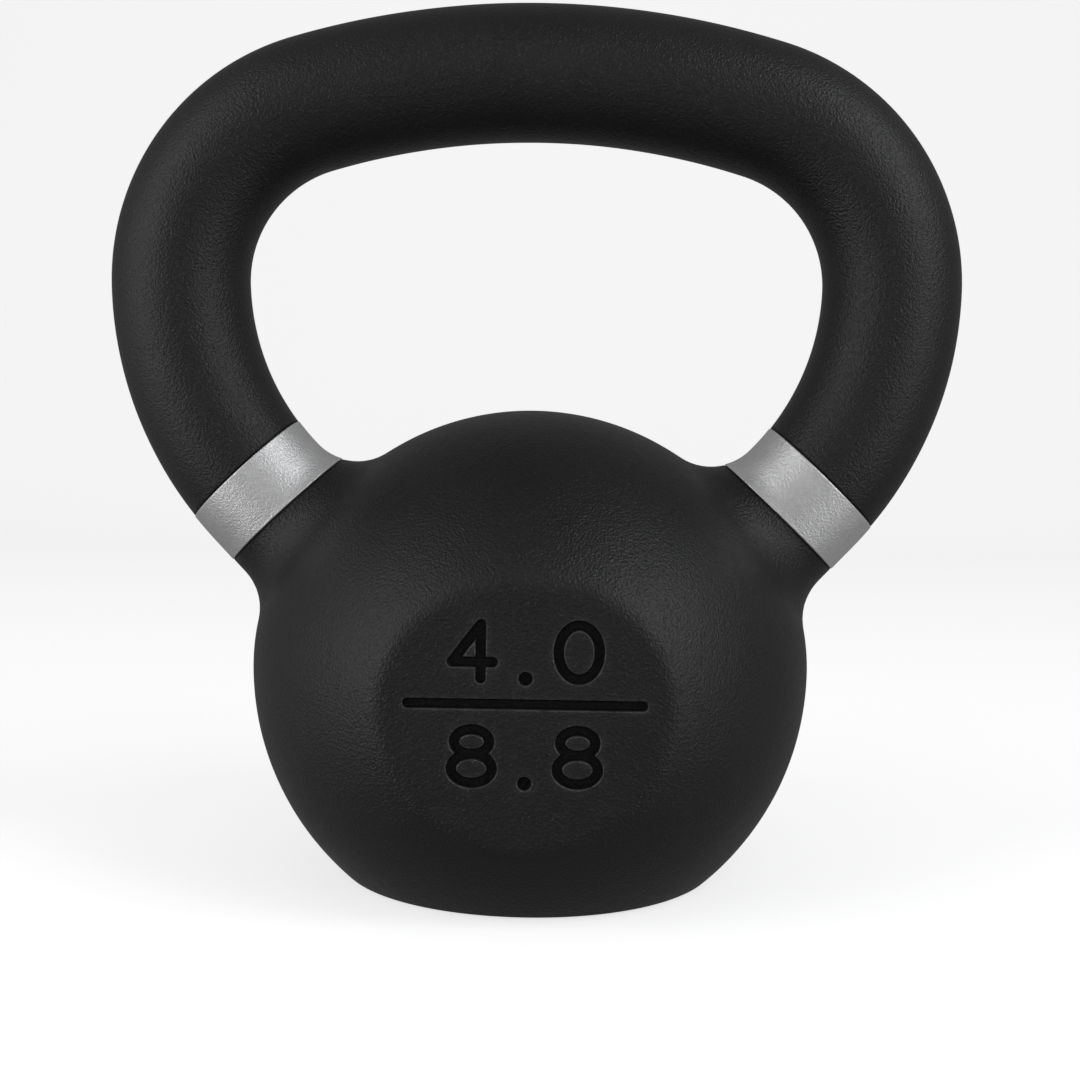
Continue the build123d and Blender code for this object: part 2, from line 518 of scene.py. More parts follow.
def mark_depth(edge):
    """Depth of the mark this far outside its outline: a rounded rim, a wall and a rounded foot."""
    rim = rolled(edge, MARK_ROLL)
    wall_share = np.clip(-edge / WALL_RUN, 0, 1)
    wall = MARK_ROLL + wall_share * (MARK_DEPTH - 2 * MARK_ROLL)
    lean = np.clip(1 - (-WALL_RUN - edge) / MARK_ROLL, 0, 1)
    foot = MARK_DEPTH - MARK_ROLL + MARK_ROLL * np.sqrt(1 - lean**2)
    return np.where(edge > 0, rim, np.where(edge > -WALL_RUN, wall, foot))


# ---- Meshes.


WIDE_STEP = 0.02  # for the gradient of the nominal form
FINE_STEP = 0.01  # for the gradient of a finished surface
LEAST_STEEPNESS = 1e-6
GRID_STEP = 1.25  # of the bell coat's mesh


def surface_net(field, low, high, step):
    """Vertices and outward quads of the field's zero surface, one vertex per crossed grid cell."""
    axes = [np.arange(a, b, step) for a, b in zip(low, high)]
    shape = tuple(len(a) for a in axes)
    nodes = np.stack(np.meshgrid(*axes, indexing="ij"), axis=-1).reshape(-1, 3)
    inside = (field(nodes) < 0).reshape(shape)
    cells = tuple(n - 1 for n in shape)
    count = np.zeros(cells, int)
    for i in (0, 1):
        for j in (0, 1):
            for k in (0, 1):
                count += inside[i : i + cells[0], j : j + cells[1], k : k + cells[2]]
    crossed = (count > 0) & (count < 8)
    number = np.full(cells, -1)
    number[crossed] = np.arange(crossed.sum())
    vertices = np.argwhere(crossed) * step + np.array(low) + step / 2
    quads = []
    for axis in range(3):
        one = (axis + 1) % 3
        other = (axis + 2) % 3
        here = [slice(1, n - 1) for n in shape]
        there = list(here)
        here[axis] = slice(0, shape[axis] - 1)
        there[axis] = slice(1, shape[axis])
        change = inside[tuple(here)] != inside[tuple(there)]
        start = np.array([1, 1, 1])
        start[axis] = 0
        at = np.argwhere(change) + start
        corners = []
        for back_one, back_other in ((0, 0), (1, 0), (1, 1), (0, 1)):
            cell = at.copy()
            cell[:, one] -= back_one
            cell[:, other] -= back_other
            corners.append(number[tuple(cell.T)])
        quad = np.stack(corners, axis=1)
        outward = inside[tuple(at.T)]
        quads.append(np.where(outward[:, None], quad, quad[:, ::-1]))
    return vertices, np.concatenate(quads)


def onto(field, points, rounds=3, hold=None):
    """Moves points onto the field's zero surface; hold is a direction they may not move along."""
    for _ in range(rounds):
        slope = gradient(field, points, WIDE_STEP)
        if hold is not None:
            slope = slope - dot(slope, hold)[:, None] * hold
        steepness = np.maximum(dot(slope, slope), LEAST_STEEPNESS)
        points = points - slope * (field(points) / steepness)[:, None]
    return points


def relax(field, vertices, quads, rounds):
    """Evens the vertices out along the surface."""
    ends = np.concatenate([quads[:, [i, (i + 1) % 4]] for i in range(4)])
    ends = np.concatenate([ends, ends[:, ::-1]])
    share = np.bincount(ends[:, 0], minlength=len(vertices))
    for _ in range(rounds):
        mean = np.stack(
            [
                np.bincount(ends[:, 0], weights=vertices[ends[:, 1], axis], minlength=len(vertices))
                for axis in range(3)
            ],
            axis=1,
        )
        vertices = onto(field, (vertices + mean / share[:, None]) / 2, rounds=1)
    return vertices


def ring_quads(rings, around):
    """Quads of a grid of rings of vertices, numbered ring after ring."""
    i, j = np.meshgrid(np.arange(rings - 1), np.arange(around), indexing="ij")
    after = (j + 1) % around
    here = i * around
    there = (i + 1) * around
    return np.stack([here + j, here + after, there + after, there + j], axis=-1).reshape(-1, 4)


def make_piece(name, vertices, faces, normals, painted_highlight, painted_shade, material, slot, node):
    """A mesh piece with exact normals and attributes for its painted highlight and its painted shade.
    """
    mesh = bpy.data.meshes.new(name)
    mesh.from_pydata((vertices * MM).tolist(), [], faces)
    mesh.polygons.foreach_set("use_smooth", [True] * len(mesh.polygons))
    for key, values in (("painted_highlight", painted_highlight), ("painted_shade", painted_shade)):
        layer = mesh.attributes.new(key, "FLOAT", "POINT")
        layer.data.foreach_set("value", values.astype(np.float32))
    mesh.materials.append(material)
    mesh.validate(clean_customdata=False)
    mesh.normals_split_custom_set_from_vertices(normals.tolist())
    piece = bpy.data.objects.new(name, mesh)
    bpy.context.scene.collection.objects.link(piece)
    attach(piece, "root")
    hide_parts(node)


def shell(outer, inner, faces, outer_normals):
    """Vertices, faces and normals of a closed shell between two like surfaces."""
    count = len(outer)
    edges = {edge: True for face in faces for edge in zip(face, face[1:] + face[:1])}
    closing = [[b, a, a + count, b + count] for a, b in edges if (b, a) not in edges]
    back = [[v + count for v in reversed(face)] for face in faces]
    vertices = np.concatenate([outer, inner])
    normals = np.concatenate([outer_normals, -outer_normals])
    return vertices, faces + back + closing, normals


def outward_faces(faces, vertices, normals):
    """The faces, all flipped if the first one's turn disagrees with its normal."""
    a, b, c = vertices[faces[0][:3]]
    if np.cross(b - a, c - a) @ normals[faces[0][0]] < 0:
        return [face[::-1] for face in faces]
    return faces


# The bell coat, up to the lower edge of each band and down to the underside.


def bell_form(points):
    """The bell coat's outer surface, with its unevenness and its rolled edges at the bands."""
    edge = below_band(points) - BAND_WIDTH / 2
    return form(points) + unevenness(points) + rolled(edge, EDGE_ROLL)


def flat_margin(points):
    """How far points of the front face lie inside the rim's contact line."""
    depth = FACET_DISTANCE - FACET_RIM_RADIUS
    section = points * [1, 0, 1] + np.array([0, -depth, 0])
    return -(turned_ball(section) + FACET_RIM_RADIUS)


# The net is cut short of the coat's edges, which are then reached with even rings.
COAT_CUT = 0.6  # from a band
COAT_RINGS = (0.35, 0.2, 0.12, 0.06, 0.02, 0.0)  # from a band
BASE_CUT = 2.4  # above the floor
BASE_RINGS = (1.9, 1.5, 1.15, 0.85, 0.6, COAT_THICKNESS)  # above the floor
NET_LOW = (-57, -46, -1.9)
NET_HIGH = (57, 46, 88)
RELAX_ROUNDS = 8
CUT_SNAP = 0.3  # vertices this near a cut are moved onto it
CUT_NEAR = 0.35  # how near a cut its border's vertices lie


def bell_mesh():
    """Nominal vertices and faces of the bell coat, its front face still plain."""
    vertices, quads = surface_net(form, NET_LOW, NET_HIGH, GRID_STEP)
    vertices = onto(form, vertices, rounds=4)
    quads = quads[(quads >= 0).all(axis=1)]
    vertices = relax(form, vertices, quads, RELAX_ROUNDS)
    vertices = onto(form, vertices, rounds=2)

    mesh = bmesh.new()
    handles = [mesh.verts.new(v) for v in vertices]
    for quad in quads:
        mesh.faces.new([handles[i] for i in quad])
    cuts = [((0.0, 0.0, BASE_CUT), np.array([0.0, 0.0, 1.0]), BASE_CUT, BASE_RINGS)]
    for side in (1, -1):
        mirror = np.array([side, 1, 1])
        origin = (band_middle + leg_axis * (BAND_WIDTH / 2 + COAT_CUT)) * mirror
        cuts.append((tuple(origin), leg_axis * mirror, COAT_CUT, COAT_RINGS))
    for origin, keep, _, _ in cuts:
        bmesh.ops.bisect_plane(
            mesh,
            geom=mesh.verts[:] + mesh.edges[:] + mesh.faces[:],
            dist=CUT_SNAP,
            plane_co=origin,
            plane_no=keep,
            clear_inner=True,
        )
    loose = [v for v in mesh.verts if not v.link_faces]
    bmesh.ops.delete(mesh, geom=loose, context="VERTS")
    mesh.verts.index_update()
    vertices = np.array([v.co for v in mesh.verts], float)
    faces = [[v.index for v in face.verts] for face in mesh.faces]
    mesh.free()

    # Extend each cut edge with even rings.
    for origin, keep, start, rings in cuts:
        directed = {(a, b) for face in faces for a, b in zip(face, face[1:] + face[:1])}
        border = [(a, b) for a, b in directed if (b, a) not in directed]
        distance = (vertices - origin) @ keep
        border = sorted(edge for edge in border if max(abs(distance[list(edge)])) < CUT_NEAR)
        members = sorted({v for e in border for v in e})
        loop = vertices[members]
        loop = onto(form, loop - ((loop - origin) @ keep)[:, None] * keep, hold=keep)
        vertices[members] = loop
        place = {v: i for i, v in enumerate(members)}
        last = list(members)
        for level in rings:
            loop = onto(form, vertices[members] - (start - level) * keep, rounds=5, hold=keep)
            fresh = list(range(len(vertices), len(vertices) + len(members)))
            vertices = np.concatenate([vertices, loop])
            for a, b in border:
                i = place[a]
                j = place[b]
                faces.append([last[j], last[i], fresh[i], fresh[j]])
            last = fresh
    return vertices, faces


MARK_STEP = 0.35  # of the grid that the mark's outlines are found on
MARK_LOW = np.array([-20.6, CENTRE_HEIGHT - 14.6])  # the grid's first corner
MARK_NODES = (119, 88)
OUTLINE_STEP = 0.004  # for the gradient of the mark's outline
OUTLINE_STEEPNESS = 0.25  # the least that is allowed, squared
MARK_LEVELS = (0.26, 0.16, 0.09, 0.04, 0.005, -0.07, -0.12, -0.2, -0.33)  # outside the outline
LAND_STEP = 1.3  # between the points of the plain part of the face
LAND_REACH = 22
LAND_MARK_GAP = 0.8
LAND_RIM_GAP = 0.7
PATCH_MARGIN = 0.25  # of the patch inside the rim's contact line
LAND_MARGIN = 0.2  # of its points inside the patch
TOUCHING = 1e-5
FLAT_TOLERANCE = 0.01


def contour(level):
    """Points and segments of the mark's outline at this distance outside it."""
    i, j = np.meshgrid(*[np.arange(n) for n in MARK_NODES], indexing="ij")
    nodes = MARK_LOW + np.stack([i, j], axis=-1).reshape(-1, 2) * MARK_STEP
    inside = (mark_edge(nodes) < level).reshape(MARK_NODES)
    total = inside[:-1, :-1].astype(int) + inside[1:, :-1] + inside[:-1, 1:] + inside[1:, 1:]
    crossed = (total > 0) & (total < 4)
    number = np.full(crossed.shape, -1)
    number[crossed] = np.arange(crossed.sum())
    places = MARK_LOW + (np.argwhere(crossed) + 0.5) * MARK_STEP
    at = np.argwhere(inside[:-1, 1:-1] != inside[1:, 1:-1]) + [0, 1]
    upright = np.stack([number[at[:, 0], at[:, 1] - 1], number[at[:, 0], at[:, 1]]], axis=1)
    at = np.argwhere(inside[1:-1, :-1] != inside[1:-1, 1:]) + [1, 0]
    sideways = np.stack([number[at[:, 0] - 1, at[:, 1]], number[at[:, 0], at[:, 1]]], axis=1)
    for _ in range(6):
        slope = gradient(mark_edge, places, OUTLINE_STEP)
        move = (mark_edge(places) - level) / np.maximum(dot(slope, slope), OUTLINE_STEEPNESS)
        places = places - slope * move[:, None]
    return places, np.concatenate([upright, sideways])


def on_front(places):
    """Points at XZ places on the plane of the front face."""
    return np.stack([places[:, 0], np.full(len(places), -FACET_DISTANCE), places[:, 1]], axis=1)


def surface_depth(places):
    """How far the coat's surface lies behind the plane of the front face, at XZ places."""
    return mark_depth(mark_edge(places)) + unevenness(on_front(places))


def mark_patch(loop):
    """Places, triangles that fill a loop of XZ places, and each place's sources, the loop's first."""
    count = len(loop)
    places = [loop]
    edges = [np.stack([np.arange(count), np.roll(np.arange(count), -1)], axis=1)]
    for level in MARK_LEVELS:
        line, segments = contour(level)
        places.append(line)
        edges.append(segments + count)
        count += len(line)
    reach = np.arange(-LAND_REACH, LAND_REACH, LAND_STEP)
    x, z = np.meshgrid(reach, reach * 3**0.5 / 2)
    x = x + (np.arange(len(reach))[:, None] % 2) * LAND_STEP / 2
    land = np.stack([x.ravel(), z.ravel() + CENTRE_HEIGHT], axis=1)
    margin = flat_margin(on_front(land))
    gap = np.min(length(land[:, None, :] - loop[None, :, :]), axis=1)
    clear = (mark_edge(land) > LAND_MARK_GAP) & (gap > LAND_RIM_GAP)
    places.append(land[clear & (margin > PATCH_MARGIN + LAND_MARGIN)])
    result = delaunay_2d_cdt(
        [Vector(p) for p in np.concatenate(places)],
        np.concatenate(edges).tolist(),
        [],
        1,  # fill only what the loop encloses
        TOUCHING,
    )
    found = np.array([tuple(v) for v in result[0]])
    return found, [list(face) for face in result[2]], [list(o) for o in result[3]]


def open_front(vertices, faces):
    """The faces without those flat on the front, and the vertices round the hole, in order."""
    on_flat = vertices[:, 1] < FLAT_TOLERANCE - FACET_DISTANCE
    on_flat &= flat_margin(vertices) > PATCH_MARGIN
    flags = on_flat.tolist()
    removed = [face for face in faces if all(flags[v] for v in face)]
    kept = [face for face in faces if not all(flags[v] for v in face)]
    directed = {edge for face in removed for edge in zip(face, face[1:] + face[:1])}
    after = {a: b for a, b in directed if (b, a) not in directed}
    first = min(after)
    chain = [first]
    while after[chain[-1]] != first:
        chain.append(after[chain[-1]])
    return kept, chain


# The shell's inner side is drawn outwards round the mark's walls, to keep the shell's thickness.
SPREAD_OUTSIDE = 0.75  # how far outside the outline that reaches
SPREAD_INSIDE = 0.45  # how far from the middle of a stroke it is whole
SPREAD_LIMIT = 0.3
HIGHLIGHT_MIDDLE = 0.09  # painted highlight: a lighter line along the mark's upper rims, outside the outline
HIGHLIGHT_WIDTH = 0.13
FLOOR_START = 0.25  # inside the outline, where the painted shade on the mark's floor begins to lighten
FLOOR_RUN = 0.3
FLOOR_LIFT = 0.75


def bell_piece(material):
    """The bell coat: the net, with the mark's patch sewn into its front face."""
    vertices, faces = bell_mesh()
    faces, chain = open_front(vertices, faces)
    found, patch, source = mark_patch(vertices[chain][:, [0, 2]])
    number = {}
    for index, origins in enumerate(source):
        for origin in origins:
            if origin < len(chain):
                number[index] = chain[origin]
    fresh = [i for i in range(len(found)) if i not in number]
    base = len(vertices)
    for place, index in enumerate(fresh):
        number[index] = base + place
    a, b, c = (found[[face[i] for face in patch]] for i in range(3))
    turn = np.cross(b - a, c - a)
    # Seen from the front, X runs right and Z up, so an outward triangle turns anticlockwise.
    faces += [[number[v] for v in (f if t > 0 else f[::-1])] for f, t in zip(patch, turn)]

    normal = unit(gradient(form, vertices, WIDE_STEP))
    band_gap = below_band(vertices) - BAND_WIDTH / 2
    dip = unevenness(vertices) + rolled(band_gap, EDGE_ROLL)
    outer = vertices - normal * dip[:, None]
    inner = vertices - normal * SHELL_THICKNESS
    shading = unit(gradient(bell_form, outer, FINE_STEP))

    places = found[fresh]
    flat = on_front(places)
    edge = mark_edge(places)
    depth = mark_depth(edge)
    inwards = np.array([0, 1.0, 0])
    patch_outer = flat + inwards * surface_depth(places)[:, None]
    patch_inner = flat + inwards * (depth + SHELL_THICKNESS)[:, None]
    spread = SHELL_THICKNESS * np.where(
        edge > 0,
        np.clip(1 - edge / SPREAD_OUTSIDE, 0, 1),
        np.clip((edge + STROKE / 2) / SPREAD_INSIDE, 0, 1),
    )
    spread = np.minimum(spread, SPREAD_LIMIT)[:, None]
    patch_inner[:, [0, 2]] += gradient(mark_edge, places, OUTLINE_STEP) * spread
    tilt = gradient(surface_depth, places, FINE_STEP)
    patch_shading = unit(np.stack([tilt[:, 0], -np.ones(len(tilt)), tilt[:, 1]], axis=1))

    outer = np.concatenate([outer, patch_outer])
    inner = np.concatenate([inner, patch_inner])
    shading = np.concatenate([shading, patch_shading])
    painted_highlight = np.zeros(2 * len(outer))
    # Painted highlight along the mark's upper rims.
    painted_highlight[base : len(outer)] = np.exp(-(((edge - HIGHLIGHT_MIDDLE) / HIGHLIGHT_WIDTH) ** 2))
    painted_shade = np.zeros(2 * len(outer))
    # Painted shadow line beside the bands.
    painted_shade[:base] = painted_band_shadow(band_gap)
    # Painted shade in the mark: the colour is darkest on its walls and a little lighter on its floor.
    middle_share = np.clip((-edge - FLOOR_START) / FLOOR_RUN, 0, 1)
    depth_share = np.clip(depth / MARK_DEPTH, 0, 1)
    painted_shade[base : len(outer)] = depth_share * (1 - FLOOR_LIFT * middle_share)
    mesh = shell(outer, inner, faces, shading)
    make_piece(
        "bell_powder_coat", *mesh, painted_highlight, painted_shade, material, "black_powder_coat", "bell_coat"
    )


# The handle coat, from band to band.

HANDLE_AROUND = 104
HANDLE_RINGS = 236
HANDLE_SEARCH = (centreline.leg_travelled - 25, centreline.leg_travelled + 10)  # for edge rings


def handle_form(points):
    """The handle coat's outer surface, with its unevenness and its rolled edges at the bands."""
    edge = -BAND_WIDTH / 2 - below_band(points)
    return tube(points) + unevenness(points) + rolled(edge, EDGE_ROLL)


def handle_piece(material):
    """The handle coat: rings round the bar, closer together towards its edges."""
    around = np.linspace(0, 2 * pi, HANDLE_AROUND, endpoint=False)

    def reach(gap):
        """How far along each line round the bar lies this far above the band's upper edge."""
        return bisect(
            lambda s: below_band(bar_points(s, around)) + BAND_WIDTH / 2 + gap,
            HANDLE_SEARCH,
            HANDLE_AROUND,
        )

    end = reach(COAT_CUT)
    rows = [end * share for share in np.linspace(-1, 1, HANDLE_RINGS)]
    for gap in COAT_RINGS:
        row = reach(gap)
        rows = [-row] + rows + [row]
    vertices = np.concatenate([bar_points(row, around) for row in rows])
    normal = unit(gradient(tube, vertices, WIDE_STEP))
    edge = -BAND_WIDTH / 2 - below_band(vertices)
    outer = vertices - normal * (unevenness(vertices) + rolled(edge, EDGE_ROLL))[:, None]
    inner = vertices - normal * SHELL_THICKNESS
    shading = unit(gradient(handle_form, outer, FINE_STEP))
    faces = outward_faces(ring_quads(len(rows), HANDLE_AROUND).tolist(), outer, shading)
    # Painted shadow line beside the bands.
    painted_shade = np.concatenate([painted_band_shadow(edge), np.zeros(len(inner))])
    painted_highlight = np.zeros(len(painted_shade))
    mesh = shell(outer, inner, faces, shading)
    make_piece(
        "handle_powder_coat", *mesh, painted_highlight, painted_shade, material, "black_powder_coat", "handle_coat"
    )


# The bands.

BAND_AROUND = 192
BAND_EDGE = (0.0, 0.02, 0.05, 0.1, 0.16, 0.24)  # rings near either edge
BAND_STEPS = 28  # rings between them
BAND_SEARCH = (8.0, 24.0)  # how far from the leg's axis its surface can lie
BAND_HIGHLIGHT = 0.4  # width of the painted highlight along either edge


def band_piece(side, name, node, material):
    """One band: rings square across the leg; side is -1 left, 1 right."""
    around = np.linspace(0, 2 * pi, BAND_AROUND, endpoint=False)
    across = leg_outward * np.cos(around)[:, None] + np.array([0, 1.0, 0]) * np.sin(around)[:, None]
    half = BAND_WIDTH / 2
    rows = [edge - half for edge in BAND_EDGE[:-1]]
    rows += np.linspace(BAND_EDGE[-1] - half, half - BAND_EDGE[-1], BAND_STEPS).tolist()
    rows += [half - edge for edge in BAND_EDGE[-2::-1]]
    mirror = np.array([side, 1.0, 1.0])
    nominal = []
    lift = []
    for row in rows:
        origin = band_middle + leg_axis * row
        reach = bisect(
            lambda r: form(origin + across * r[:, None]), BAND_SEARCH, BAND_AROUND, rounds=30
        )
        points = (origin + across * reach[:, None]) * mirror
        nominal.append(points)
        edge = np.full(BAND_AROUND, half - abs(row))
        lift.append(BAND_PROUD - unevenness(points) - rolled(edge, EDGE_ROLL))
    vertices = np.concatenate(nominal)
    lift = np.concatenate(lift)
    normal = unit(gradient(form, vertices, WIDE_STEP))
    sideways = np.tile(across * mirror, (len(rows), 1))
    lean = dot(normal, sideways)
    outer = vertices + sideways * (lift / lean)[:, None]
    inner = vertices - sideways * (SHELL_THICKNESS / lean)[:, None]

    def band_form(points):
        edge = half - np.abs(below_band(points))
        return form(points) - BAND_PROUD + unevenness(points) + rolled(edge, EDGE_ROLL)

    shading = unit(gradient(band_form, outer, FINE_STEP))
    faces = outward_faces(ring_quads(len(rows), BAND_AROUND).tolist(), outer, shading)
    edge = half - np.abs(below_band(vertices))
    # Painted highlight along both edges of the band.
    painted_highlight = np.concatenate([np.clip(1 - edge / BAND_HIGHLIGHT, 0, 1), np.zeros(len(inner))])
    painted_shade = np.zeros(len(painted_highlight))
    mesh = shell(outer, inner, faces, shading)
    make_piece(name, *mesh, painted_highlight, painted_shade, material, "silver_powder_coat", node)


# The coat on the underside.

BASE_AROUND = 180
BASE_HUB = 1.2  # radius of the face in the middle
BASE_FLAT_RINGS = 26
BASE_RIM_RINGS = 7


def base_piece(material):
    """The coat on the underside: a flat disc and the start of its rounded rim."""
    around = np.linspace(0, 2 * pi, BASE_AROUND, endpoint=False)
    flat_reach = rim_centre[0]
    profile = [(reach, 0.0) for reach in np.linspace(BASE_HUB, flat_reach, BASE_FLAT_RINGS)]
    top_angle = acos(1 - COAT_THICKNESS / BASE_RIM_RADIUS)
    for share in np.linspace(0, 1, BASE_RIM_RINGS)[1:]:
        angle = top_angle * share
        profile.append(
            (flat_reach + BASE_RIM_RADIUS * sin(angle), BASE_RIM_RADIUS * (1 - cos(angle)))
        )
    rings = [
        np.stack([reach * np.cos(around), reach * np.sin(around), np.full_like(around, z)], axis=1)
        for reach, z in profile
    ]
    lower = np.concatenate(rings)
    normal = unit(gradient(form, lower, WIDE_STEP))
    outer = lower - normal * unevenness(lower)[:, None]
    inner = lower - normal * SHELL_THICKNESS
    outer[:, 2] = np.maximum(outer[:, 2], 0)
    shading = unit(gradient(lambda p: form(p) + unevenness(p), outer, FINE_STEP))
    faces = outward_faces(ring_quads(len(profile), BASE_AROUND).tolist(), outer, shading)
    faces.append(list(range(BASE_AROUND))[::-1])
    mesh = shell(outer, inner, faces, shading)
    plain = np.zeros(2 * len(outer))
    make_piece(
        "base_powder_coat", *mesh, plain, plain, material, "black_powder_coat", "base_coat"
    )


# ---- Materials.


class Graph:
    """Small helpers for building a node tree."""

    def __init__(self, material):
        material.use_nodes = True
        self.tree = material.node_tree
        self.tree.nodes.clear()

    def add(self, kind, settings=None, **inputs):
        node = self.tree.nodes.new(kind)
        for key, value in (settings or {}).items():
            setattr(node, key, value)
        for key, value in inputs.items():
            self.put(node.inputs[key.replace("_", " ")], value)
        return node

    def put(self, socket, value):
        if isinstance(value, bpy.types.NodeSocket):
            self.tree.links.new(value, socket)
        else:
            socket.default_value = value

    def math(self, operation, first, second=0.0):
        node = self.tree.nodes.new("ShaderNodeMath")
        node.operation = operation
        self.put(node.inputs[0], first)
        self.put(node.inputs[1], second)
        return node.outputs[0]

    def ramp(self, value, low, high, to_low, to_high):
        node = self.tree.nodes.new("ShaderNodeMapRange")
        names = ("Value", "From Min", "From Max", "To Min", "To Max")
        for name, number in zip(names, (value, low, high, to_low, to_high)):
            self.put(node.inputs[name], number)
        return node.outputs[0]

    def blend(self, share, first, second):
        node = self.tree.nodes.new("ShaderNodeMix")
        node.data_type = "RGBA"
        self.put(node.inputs[0], share)
        self.put(node.inputs[6], first)
        self.put(node.inputs[7], second)
        return node.outputs[2]

    def noise(self, place, scale, detail, rough, distortion=0.0):
        node = self.add("ShaderNodeTexNoise", Vector=place, Scale=scale, Detail=detail)
        node.inputs["Roughness"].default_value = rough
        node.inputs["Distortion"].default_value = distortion
        return node.outputs["Fac"]

    def weighted(self, first, first_share, second, second_share):
        one = self.math("MULTIPLY", first, first_share)
        return self.math("ADD", one, self.math("MULTIPLY", second, second_share))

    def attribute(self, name):
        return self.add("ShaderNodeAttribute", {"attribute_name": name}).outputs["Fac"]

    def coordinates(self):
        """Position on the object, in millimetres."""
        place = self.add("ShaderNodeTexCoord")
        scale = self.add("ShaderNodeMapping", Vector=place.outputs["Object"])
        scale.inputs["Scale"].default_value = (1 / MM, 1 / MM, 1 / MM)
        return scale.outputs["Vector"]

    def surface(self, shader):
        output = self.add("ShaderNodeOutputMaterial")
        self.put(output.inputs["Surface"], shader.outputs["BSDF"])


NOISE_LOW = 0.35  # noise lies mostly between these
NOISE_HIGH = 0.65
PAINTED_SHADE_LOW = 0.2  # painted shade, in the mark and beside the bands, darkens the coat between these
PAINTED_SHADE_HIGH = 0.95
PAINTED_SHADE_SHARE = 0.7
PAINTED_SHADE_GLOSS = 0.15
PAINTED_SHADE_COLOUR = (0.001, 0.001, 0.001, 1)
# Where the painted highlight lies, the coat is also a little smoother.
HIGHLIGHT_SMOOTHER = 0.08
CELL_SHARE = 0.6
GLOSS = 0.5


def powder_coat(name, dark, light, highlight_colour, rough, spread, peel, grain, metallic=0.0):
    """A sprayed and baked powder: orange peel, fine grain and uneven sheen, with a painted highlight
    and painted shade read from the mesh's attributes.
    """
    material = bpy.data.materials.new(name)
    graph = Graph(material)
    place = graph.coordinates()
    drift = graph.noise(place, 0.09, 3.0, 0.55)
    mottle = graph.noise(place, 0.75, 4.0, 0.6)
    wrinkle = graph.noise(place, 2.5, 2.0, 0.5, 0.3)
    speck = graph.noise(place, 4.6, 2.0, 0.6)
    cells = graph.add(
        "ShaderNodeTexVoronoi",
        {"feature": "SMOOTH_F1"},
        Vector=place,
        Scale=2.3,
        Smoothness=0.6,
        Randomness=1.0,
    ).outputs["Distance"]
    painted_shade = graph.attribute("painted_shade")

    shade = graph.ramp(graph.weighted(drift, 0.6, mottle, 0.4), NOISE_LOW, NOISE_HIGH, 0.0, 1.0)
    colour = graph.blend(shade, dark, light)
    # Painted highlight: the colour is lightened along the mark's rims and the bands' edges.
    highlight_share = graph.math("MULTIPLY", graph.attribute("painted_highlight"), graph.ramp(mottle, 0.35, 0.6, 0.35, 1.0))
    colour = graph.blend(highlight_share, colour, highlight_colour)
    # Painted shade: the colour is darkened in the mark and beside the bands.
    shadow = graph.ramp(painted_shade, PAINTED_SHADE_LOW, PAINTED_SHADE_HIGH, 0.0, PAINTED_SHADE_SHARE)
    colour = graph.blend(shadow, colour, PAINTED_SHADE_COLOUR)
    uneven = graph.weighted(mottle, 0.5, drift, 0.5)
    roughness = graph.ramp(uneven, NOISE_LOW, NOISE_HIGH, rough - spread, rough + spread)
    smoother = graph.math("MULTIPLY", highlight_share, HIGHLIGHT_SMOOTHER)
    relief = graph.weighted(wrinkle, peel, cells, peel * CELL_SHARE)
    relief = graph.math("ADD", relief, graph.math("MULTIPLY", speck, grain))
    bump = graph.add("ShaderNodeBump", Strength=1.0, Distance=MM, Height=relief)

    shader = graph.add("ShaderNodeBsdfPrincipled", Base_Color=colour, Metallic=metallic)
    # The painted shade also dims the gloss there.
    gloss = graph.ramp(painted_shade, PAINTED_SHADE_LOW, PAINTED_SHADE_HIGH, GLOSS, PAINTED_SHADE_GLOSS * GLOSS)
    graph.put(shader.inputs["Specular IOR Level"], gloss)
    graph.put(shader.inputs["Roughness"], graph.math("SUBTRACT", roughness, smoother))
    graph.put(shader.inputs["Normal"], bump.outputs["Normal"])
    graph.surface(shader)
    return material


def cast_iron(name):
    """Bare sand-cast grey iron, under the coat."""
    material = bpy.data.materials.new(name)
    graph = Graph(material)
    place = graph.coordinates()
    sand = graph.noise(place, 2.2, 5.0, 0.65)
    stain = graph.ramp(graph.noise(place, 0.15, 4.0, 0.6), NOISE_LOW, NOISE_HIGH, 0.0, 1.0)
    colour = graph.blend(stain, (0.09, 0.088, 0.085, 1), (0.17, 0.165, 0.16, 1))
    bump = graph.add("ShaderNodeBump", Strength=1.0, Distance=0.12 * MM, Height=sand)
    shader = graph.add("ShaderNodeBsdfPrincipled", Base_Color=colour, Metallic=0.85)
    graph.put(shader.inputs["Roughness"], graph.ramp(sand, 0.3, 0.7, 0.5, 0.75))
    graph.put(shader.inputs["Normal"], bump.outputs["Normal"])
    graph.surface(shader)
    return material


def pale_sheet(name):
    """The floor's translucent sheet, faintly mottled and lit from behind as a light table is."""
    material = bpy.data.materials.new(name)
    graph = Graph(material)
    fibre = graph.noise(graph.coordinates(), 0.6, 3.0, 0.6)
    colour = graph.blend(fibre, (0.86, 0.86, 0.86, 1), (0.8471, 0.8471, 0.8471, 1))
    shader = graph.add("ShaderNodeBsdfPrincipled", Base_Color=colour, Roughness=0.85)
    shader.inputs["Specular IOR Level"].default_value = 0.2
    shader.inputs["Emission Color"].default_value = (1, 1, 1, 1)
    shader.inputs["Emission Strength"].default_value = 0.66
    graph.surface(shader)
    return material


